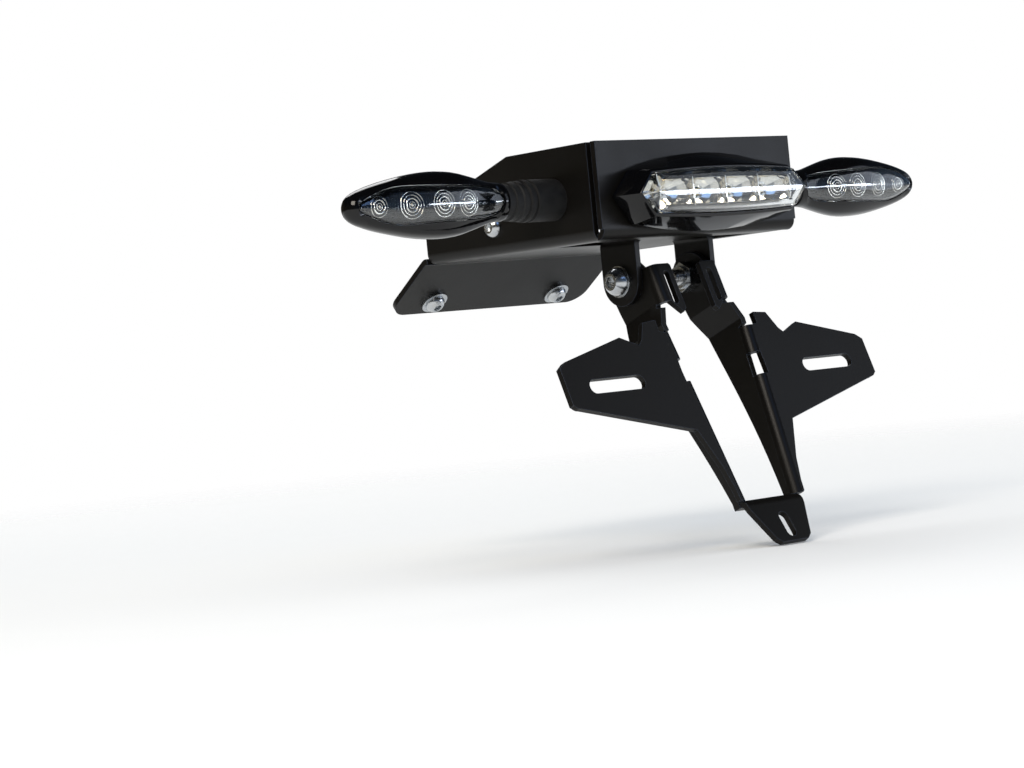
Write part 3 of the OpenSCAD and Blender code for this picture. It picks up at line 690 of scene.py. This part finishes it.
# %% Reading the stations
def between(table, u, column):
    """Smooth value from a table of stations (Catmull-Rom)."""
    last = len(table) - 1
    index = next((i for i in range(last) if u <= table[i + 1][0]), last - 1)
    p0, p1, p2, p3 = (table[max(0, min(last, index + k))] for k in (-1, 0, 1, 2))
    span = p2[0] - p1[0]
    t = min(1.0, max(0.0, (u - p1[0]) / span))
    slope1 = (p2[column] - p0[column]) / (p2[0] - p0[0]) * span
    slope2 = (p3[column] - p1[column]) / (p3[0] - p1[0]) * span
    return ((2 * t ** 3 - 3 * t ** 2 + 1) * p1[column] + (t ** 3 - 2 * t ** 2 + t) * slope1
            + (3 * t ** 2 - 2 * t ** 3) * p2[column] + (t ** 3 - t ** 2) * slope2)


def section(u, z):
    """Depth of the round body behind its axis at height z."""
    return between(BODY, u, DEEP) * math.sqrt(max(0.0, 1 - (z / between(BODY, u, HIGH)) ** 2))


def indicator_point(u, y, z):
    """A point of the right-hand indicator in layout millimetres."""
    return (INDICATOR_MID.x + u, INDICATOR_MID.y + y, INDICATOR_MID.z + z)


print("half height in the middle:", round(between(BODY, BODY[-1][0] / 2, HIGH), 2), "mm")

# %% [markdown]
# ## Indicator housing
# Each ring runs round the front of the body, over the slanted band, and down
# into the recess that holds the optics. Before and after the window the same
# corners simply lie on the round body, so the recess ends in a clean wall.

# %% Rings of the housing
FRONT_CORNERS = 26
RECESS = -3.0
WINDOW_LIFT = 0.86


def window_edge(u):
    """Depth of the window's edge: a little inside the round body."""
    return -WINDOW_LIFT * section(u, between(WINDOW, u, GLAZED))


def housing_ring(u):
    """The housing's section at a distance u from its stalk end."""
    half_h, half_d = between(BODY, u, HIGH), between(BODY, u, DEEP)
    inside = WINDOW[0][0] < u < WINDOW[-1][0]
    near = min(max(u, WINDOW[0][0]), WINDOW[-1][0])
    window = min(between(WINDOW, near, GLAZED), 0.75 * half_h)
    band = min(between(WINDOW, near, BAND), 0.9 * half_h)
    crease = math.asin(band / half_h)
    points = []
    for step in range(FRONT_CORNERS + 1):
        angle = -(math.pi - crease) + 2 * (math.pi - crease) * step / FRONT_CORNERS
        points.append(indicator_point(u, half_d * math.cos(angle), half_h * math.sin(angle)))
    edge = window_edge(u) if inside else -section(u, window)
    floor = RECESS if inside else -section(u, window * 0.5)
    inner = window if inside else window * 0.5
    points += [indicator_point(u, edge, window), indicator_point(u, floor, inner),
               indicator_point(u, floor, -inner), indicator_point(u, edge, -window)]
    return points


print("window edge in the middle is", round(-window_edge(44), 2), "mm behind the axis")

# %% [markdown]
# The rings stand close together where the form turns quickly: at the two ends
# of the window and at the tip. The second housing is a mirrored copy.

# %% Indicator housings
HOUSING_STATIONS = [0, 1.5, 2.9, 3.05, 3.5, 4, 5, 6, 7.5, 9, 11, 14, 18, 22, 26, 30, 34, 38, 42, 46, 50, 54, 58, 62,
                    66, 70, 73, 76, 78, 80, 82, 84, 85.2, 86, 86.7, 87.15, 87.25, 88, 88.8, 89.6, 90.3, 90.7, 91]
shell_right = skin([housing_ring(u) for u in HOUSING_STATIONS])
bevel_ridges(shell_right, 0.25, 32)
shell_left = mirrored(shell_right)
finish_piece(shell_right, "indicator_shell_right", "black_plastic", replaced=["indicator_housing_right"])
finish_piece(shell_left, "indicator_shell_left", "black_plastic", replaced=["indicator_housing_left"])

# %% [markdown]
# ## Indicator cover
# The clear cover bulges a little out of the window. Every ring is the section
# of a thin wall: out along the outer arc and back along the inner one. Towards
# the pointed ends the bulge and the wall get smaller with the window.

# %% Indicator cover
COVER_WALL, COVER_BULGE, COVER_GAP = 1.3, 2.6, 0.12
COVER_SUNK, INNER_SUNK = 0.8, 0.6
COVER_STEPS = 12
COVER_STATIONS = [3.4, 4.0, 4.8, 6, 7.5, 9, 11, 14, 18, 23, 28, 33, 38, 43, 48, 53, 58, 62, 66, 70, 73, 76, 78, 80,
                  82, 84, 85.2, 86, 86.7]


def cover_ring(u):
    """The cover's section at a distance u from the stalk end."""
    window = max(0.3, between(WINDOW, u, GLAZED) - COVER_GAP)
    edge = window_edge(u)
    bulge = min(COVER_BULGE, 0.32 * window)
    wall = min(COVER_WALL, 0.6 * window)
    outer, inner = [], []
    for step in range(COVER_STEPS + 1):
        angle = math.pi * step / COVER_STEPS
        z, lift = math.cos(angle), math.sin(angle)
        outer.append(indicator_point(u, edge + COVER_SUNK - (bulge + COVER_SUNK) * lift, window * z))
        inner.append(indicator_point(
            u, edge + COVER_SUNK + INNER_SUNK - (bulge + COVER_SUNK + INNER_SUNK - wall) * lift,
            (window - wall * 0.8) * z))
    return outer + inner[::-1]


cover_right = skin([cover_ring(u) for u in COVER_STATIONS])
cover_left = mirrored(cover_right)
finish_piece(cover_right, "indicator_cover_right", "clear_plastic", replaced=["indicator_lens_right"], smooth=50)
finish_piece(cover_left, "indicator_cover_left", "clear_plastic", replaced=["indicator_lens_left"], smooth=50)

# %% [markdown]
# ## Indicator strip
# Behind the cover lies a dark arched strip with fine upright ribs. Every second
# ring of its skin is lifted by a fifth of a millimetre, which makes the ribs.

# %% Indicator strip
STRIP_MARGIN, STRIP_DEPTH, STRIP_ARCH = 1.6, 2.4, 1.5
STRIP_START, RIB_PITCH, RIB_HEIGHT, STRIP_RINGS = 6.5, 0.75, 0.22, 104
FACE_STEPS = 16


def strip_half(u):
    """Half height of the strip, which keeps clear of the window's edge."""
    return max(0.5, between(WINDOW, u, GLAZED) - STRIP_MARGIN)


def arch(u, z):
    """How far the strip's arch has risen at height z: one in the middle, none at its edges."""
    return math.sqrt(max(0.0, 1 - (z / strip_half(u)) ** 2))


def strip_depth(u, z):
    """Depth of the strip's arched face at height z, in millimetres behind the axis."""
    return window_edge(u) + STRIP_DEPTH - STRIP_ARCH * arch(u, z)


def strip_ring(u, lift):
    """The strip's section, with its arched face lifted into a rib or not."""
    half = strip_half(u)
    face = [half * math.cos(math.pi * step / FACE_STEPS) for step in range(FACE_STEPS + 1)]
    points = [indicator_point(u, strip_depth(u, z) - lift * arch(u, z), z) for z in face]
    return points + [indicator_point(u, RECESS - 0.1, -half), indicator_point(u, RECESS - 0.1, half)]


strip_right = skin([strip_ring(STRIP_START + RIB_PITCH * index, RIB_HEIGHT * (index % 2))
                    for index in range(STRIP_RINGS)])
strip_left = mirrored(strip_right)
finish_piece(strip_right, "indicator_strip_right", "black_plastic", smooth=20)
finish_piece(strip_left, "indicator_strip_left", "black_plastic", smooth=20)

# %% [markdown]
# ## Indicator rings
# Four lights are sunk in the strip, each in the middle of a set of bright
# rings, like ripples around a stone, that spread its beam. Each ring is a torus
# whose corners are moved back or forth until it follows the arched strip.

# %% Rings on the strip
LIGHTS = (25.5, 40.5, 58.0, 75.5)
RING_PITCH = 1.5
RING_R, BRIGHT_RING_R, BRIGHT_RING = 0.24, 0.42, 2
LIGHT_R = 0.8


def lay_on_strip(piece, light):
    """Moves each corner of a flat piece back or forth until it follows the strip."""
    for corner in piece.data.vertices:
        spot = corner.co / MM + SEAT - INDICATOR_MID
        corner.co.y += (strip_depth(spot.x, spot.z) - strip_depth(light, 0.0)) * MM


def light_rings(light):
    """The rings and the light in their middle, laid on the strip."""
    spot = at(*indicator_point(light, strip_depth(light, 0.0), 0))
    room = between(WINDOW, light, GLAZED) - 1.9
    parts = []
    for number in range(1, int(room / RING_PITCH) + 1):
        deselect()
        bpy.ops.mesh.primitive_torus_add(
            major_segments=48, minor_segments=8, major_radius=number * RING_PITCH * MM,
            minor_radius=(BRIGHT_RING_R if number == BRIGHT_RING else RING_R) * MM,
            location=spot, rotation=(math.pi / 2, 0, 0))
        parts.append(placed())
    deselect()
    bpy.ops.mesh.primitive_uv_sphere_add(segments=16, ring_count=8, radius=LIGHT_R * MM, location=spot)
    parts.append(placed())
    for part in parts:
        lay_on_strip(part, light)
    return parts


rings_right, *more_rings = [part for light in LIGHTS for part in light_rings(light)]
for part in more_rings:
    join_to(rings_right, part)
rings_left = mirrored(rings_right)
finish_piece(rings_right, "indicator_rings_right", "bright_reflector", replaced=["indicator_leds_right"], smooth=50)
finish_piece(rings_left, "indicator_rings_left", "bright_reflector", replaced=["indicator_leds_left"], smooth=50)

# %% [markdown]
# ## Bolt shafts and heads
# The frame's bolts are plain shafts. A real button-head bolt has a domed head
# with a hex socket, a shaft of the full diameter where it passes the sheets and
# a thread beyond. Shaft, dome and socket are one skin of round rings, whose
# last three rings turn hexagonal and go down into the socket.

# %% Bolt shafts and heads
BOLT_CORNERS = 36


def hexagon(across_flats, angle):
    """Radius of a hexagon's outline in a direction."""
    turned = angle % (math.pi / 3) - math.pi / 6
    return across_flats / 2 / math.cos(turned)


def bolt_ring(place, x, radius, hexed=False):
    """A ring of a bolt at distance x along its axis, in layout millimetres."""
    points = []
    for corner in range(BOLT_CORNERS):
        angle = 2 * math.pi * corner / BOLT_CORNERS
        reach = hexagon(2 * radius, angle) if hexed else radius
        points.append(place @ Vector((x, reach * math.cos(angle), reach * math.sin(angle))))
    return points


def bolt_body(place, d, length, grip, waist_d, core, tip):
    """Shaft and button head: the underside of the head at x = 0, the tip at -length."""
    # a button head's sizes go with the thread's diameter, and a small one is flatter
    head_r, head_h, key_r = 0.875 * d, (0.675 if d > 7 else 0.57) * d, 0.325 * d
    face_r, rim = 0.29 * 1.75 * d, 0.12 * head_h
    # the dome is part of a ball that passes through the rim and the edge of the flat face
    middle = (face_r ** 2 + head_h ** 2 - head_r ** 2 - rim ** 2) / (2 * (head_h - rim))
    ball_r = math.hypot(head_r, rim - middle)
    shaft = [(-length, core - tip), (-length + tip, core), (-grip - 0.4, core), (-grip, waist_d / 2),
             (0.0, waist_d / 2)]
    dome = [(0.0, head_r - 0.15), (0.15, head_r)] + [
        (x, math.sqrt(ball_r ** 2 - (x - middle) ** 2)) for x in [rim + (head_h - rim) * step / 6 for step in range(7)]]
    socket = [(head_h, key_r + 0.1), (head_h - 0.15, key_r), (0.45 * head_h, key_r)]
    return skin([bolt_ring(place, x, radius) for x, radius in shaft + dome]
                + [bolt_ring(place, x, radius, hexed=True) for x, radius in socket])


print("a 5 mm hexagon is", round(2 * hexagon(5.0, 0.0), 2), "mm across its corners")

# %% [markdown]
# ## Threads
# A rolled thread is one ridge wound round the core of the shaft. A small
# triangle is turned and lifted by the Screw modifier, its two open ends are
# filled, and the ridge is then laid along the bolt's own axis.

# %% Threads
THREAD_STEPS = 24
SUNK_FOOT = 0.15  # the ridge's foot lies this far inside the core


def thread_ridge(place, pitch, length, grip, crest, core, tip):
    """The ridge of a thread, from near the tip to the grip."""
    deselect()
    bpy.ops.mesh.primitive_circle_add(vertices=3, radius=1.0)
    ridge = bpy.context.object
    profile = [(core - SUNK_FOOT, 0.46 * pitch), (crest, 0.0), (core - SUNK_FOOT, -0.46 * pitch)]
    for corner, (radius, lift) in zip(ridge.data.vertices, profile):
        corner.co = Vector((radius, 0.0, lift)) * MM
    turns = int((length - grip - 2 * tip) / pitch)
    use_modifier(ridge, "SCREW", angle=2 * math.pi, screw_offset=pitch * MM, iterations=turns,
                 steps=THREAD_STEPS, render_steps=THREAD_STEPS, axis="Z")
    bpy.ops.object.mode_set(mode="EDIT")
    bpy.ops.mesh.select_all(action="SELECT")
    bpy.ops.mesh.fill_holes(sides=4)
    bpy.ops.mesh.select_all(action="SELECT")
    bpy.ops.mesh.normals_make_consistent(inside=False)
    bpy.ops.object.mode_set(mode="OBJECT")
    for corner in ridge.data.vertices:
        along = corner.co.z / MM + tip + 0.5 * pitch - length
        corner.co = at(*(place @ Vector((along, corner.co.x / MM, corner.co.y / MM))))
    return ridge


def threaded_bolt(place, d, pitch, length, grip, waist_d):
    """A button-head bolt with its thread."""
    crest, core, tip = (d - 0.12) / 2, d / 2 - 0.61 * pitch, 0.1 * d
    bolt = bolt_body(place, d, length, grip, waist_d, core, tip)
    join_to(bolt, thread_ridge(place, pitch, length, grip, crest, core, tip))
    return bolt


print("threads have", THREAD_STEPS, "steps to a turn")

# %% [markdown]
# ## Bolts in their places
# Three kinds of bolt are used, each on the right and mirrored to the left: M8
# pivot bolts through the ears, M6 bolts up through the sloping flange, with a
# waist where they pass it, and M6 bolts through the side walls.

# %% Bolts in their places
FLANGE_TILT = math.radians(-35)
flange_place = (Matrix.Translation(SEAT + Vector((42.0, 0, 0))) @ Matrix.Rotation(FLANGE_TILT, 4, "X")
                @ Matrix.Translation((0, 0, -4.5)) @ Matrix.Rotation(math.pi / 2, 4, "Y"))
# kind, place of the head's underside, diameter, pitch, length, grip, waist
BOLTS = [
    ("pivot_bolt", Matrix.Translation((28.3, 32.0, -18.7)), 8.0, 1.25, 20.0, 8.1, 8.0),
    ("fixing_bolt", flange_place, 6.0, 1.0, 20.0, 4.5, 5.28),
    ("side_bolt", Matrix.Translation((65.5, 76.0, 13.6)), 6.0, 1.0, 14.0, 3.0, 6.0),
]
for kind, *sizes in BOLTS:
    bolt_right = threaded_bolt(*sizes)
    bolt_left = mirrored(bolt_right)
    finish_piece(bolt_right, kind + "_threaded_right", "zinc_steel", replaced=[kind + "_right"])
    finish_piece(bolt_left, kind + "_threaded_left", "zinc_steel", replaced=[kind + "_left"])

# %% [markdown]
# ## Floor
# The floor lies just under the lowest edge of the hanger. It is plain and pale
# and fades out with distance, so that no horizon line cuts the picture while
# the object keeps its shadow.

# %% Floor
FLOOR_GREY = "#f1f1ef"
FADE_FROM, FADE_TO = 0.35, 1.5
FLOOR_R, FLOOR_GAP = 6.0, 0.0004
low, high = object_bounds()
deselect()
bpy.ops.mesh.primitive_circle_add(vertices=96, radius=FLOOR_R, fill_type="NGON",
                                  location=(0, low.y / 2, low.z - FLOOR_GAP))
floor = placed()
floor.name = "floor"
floor_material, tree, shader, place = new_material("plain_pale_floor", {
    "Base Color": linear(FLOOR_GREY), "Roughness": 0.9, "Specular IOR Level": 0.1})
distance = add_node(tree, "ShaderNodeVectorMath", {"operation": "LENGTH"}, {0: place}).outputs["Value"]
fade = add_node(tree, RANGE, {"From Min": FADE_FROM, "From Max": FADE_TO, "To Min": 1.0, "To Max": 0.0},
                {"Value": distance})
feed(tree, shader, {"Alpha": fade})
floor.data.materials.append(floor_material)
print("the floor is", round((FLOOR_GAP - low.z) * 1000, 1), "mm under the seat")

# %% [markdown]
# ## Surroundings
# Behind the object everything is white. Gloss black and bright metal look like
# what they mirror, so mirrored and refracted rays see a simple room instead: a
# pale ground, a wall that is warm on one side and blue on the other, and a dark
# ceiling. All other rays get one even pale light.

# %% Surroundings
BLUE_SIDE = (0.66, -0.75, 0.0)
world = bpy.data.worlds.new("pale_studio")
bpy.context.scene.world = world
world.use_nodes = True
sky = world.node_tree
sky.nodes.clear()
rays = add_node(sky, "ShaderNodeLightPath").outputs
toward = add_node(sky, "ShaderNodeTexCoord").outputs["Object"]
height = add_node(sky, "ShaderNodeSeparateXYZ", links={0: toward}).outputs["Z"]
side = add_node(sky, "ShaderNodeVectorMath", {"operation": "DOT_PRODUCT", 1: BLUE_SIDE}, {0: toward}).outputs["Value"]
blueness = add_node(sky, RANGE, {"From Min": -0.7, "From Max": 0.7, "To Min": 0.0, "To Max": 1.0}, {"Value": side})
wall = add_node(sky, MIX, {"data_type": "RGBA", FIRST: linear("#57503f"), SECOND: linear("#42566f")},
                {FACTOR: blueness}).outputs[MIXED]
overhead = add_node(sky, RANGE, {"From Min": 0.15, "From Max": 0.6, "To Min": 0.0, "To Max": 1.0},
                    {"Value": height})
ceiling = add_node(sky, MIX, {"data_type": "RGBA", SECOND: linear("#15181c")},
                   {FACTOR: overhead, FIRST: wall}).outputs[MIXED]
above_ground = add_node(sky, RANGE, {"From Min": -0.16, "From Max": -0.02, "To Min": 0.0, "To Max": 1.0},
                        {"Value": height})
room = add_node(sky, MIX, {"data_type": "RGBA", FIRST: linear("#f2f2f0")},
                {FACTOR: above_ground, SECOND: ceiling}).outputs[MIXED]
mirrors_or_glass = add_node(sky, MATH, {"operation": "MAXIMUM"},
                            {0: rays["Is Glossy Ray"], 1: rays["Is Transmission Ray"]})
ambient = add_node(sky, MIX, {"data_type": "RGBA", FIRST: linear("#ccd0d4")},
                   {FACTOR: mirrors_or_glass, SECOND: room}).outputs[MIXED]
shown = add_node(sky, MIX, {"data_type": "RGBA", SECOND: linear("#ffffff")},
                 {FACTOR: rays["Is Camera Ray"], FIRST: ambient}).outputs[MIXED]
surround = add_node(sky, "ShaderNodeBackground", {"Strength": 1.0}, {"Color": shown})
add_node(sky, "ShaderNodeOutputWorld", links={"Surface": surround})
print(world.name, len(sky.nodes), "nodes")

# %% [markdown]
# ## Lights
# Five soft rectangles of light stand around the object, as in a small studio: a
# warm key from the left, a weak fill and a long thin strip from the right, a
# weak blue one from above the lamp, and a white one from beyond the object. The
# narrow ones matter most on gloss black, which shows them as streaks.

# %% Lights
AIM = Vector((0, -0.13, -0.02))


def soft_light(name, place, width, depth, watts, colour):
    """A rectangular area light aimed at the middle of the object."""
    lamp = bpy.data.lights.new(name, "AREA")
    lamp.shape = "RECTANGLE"
    lamp.size, lamp.size_y, lamp.energy, lamp.color = width, depth, watts, linear(colour)[:3]
    holder = bpy.data.objects.new(name, lamp)
    holder.location = place
    aim = AIM - holder.location
    holder.rotation_euler = aim.to_track_quat("-Z", "Y").to_euler()
    bpy.context.scene.collection.objects.link(holder)
    print(name, "light,", watts, "W from", round(aim.length, 2), "m")


soft_light("key", (-1.4, -0.9, 1.3), 0.9, 0.9, 22, "#fff6ea")
soft_light("fill", (1.4, -1.2, 0.4), 1.2, 1.2, 4, "#dfe6f2")
soft_light("strip", (1.25, -1.5, 0.1), 1.3, 0.1, 5, "#e3eaf8")
soft_light("rear", (-0.1, -1.5, 1.0), 0.8, 0.8, 3, "#8fb4f0")
soft_light("back", (0.5, 1.2, 1.3), 0.9, 0.9, 9, "#ffffff")

# %% [markdown]
# ## Size
# The finished model should fill the same box as the measured frame; the last
# line prints the size of its box, as found before the floor was laid.

print("size", [round(v * 1000, 1) for v in high - low], "mm")
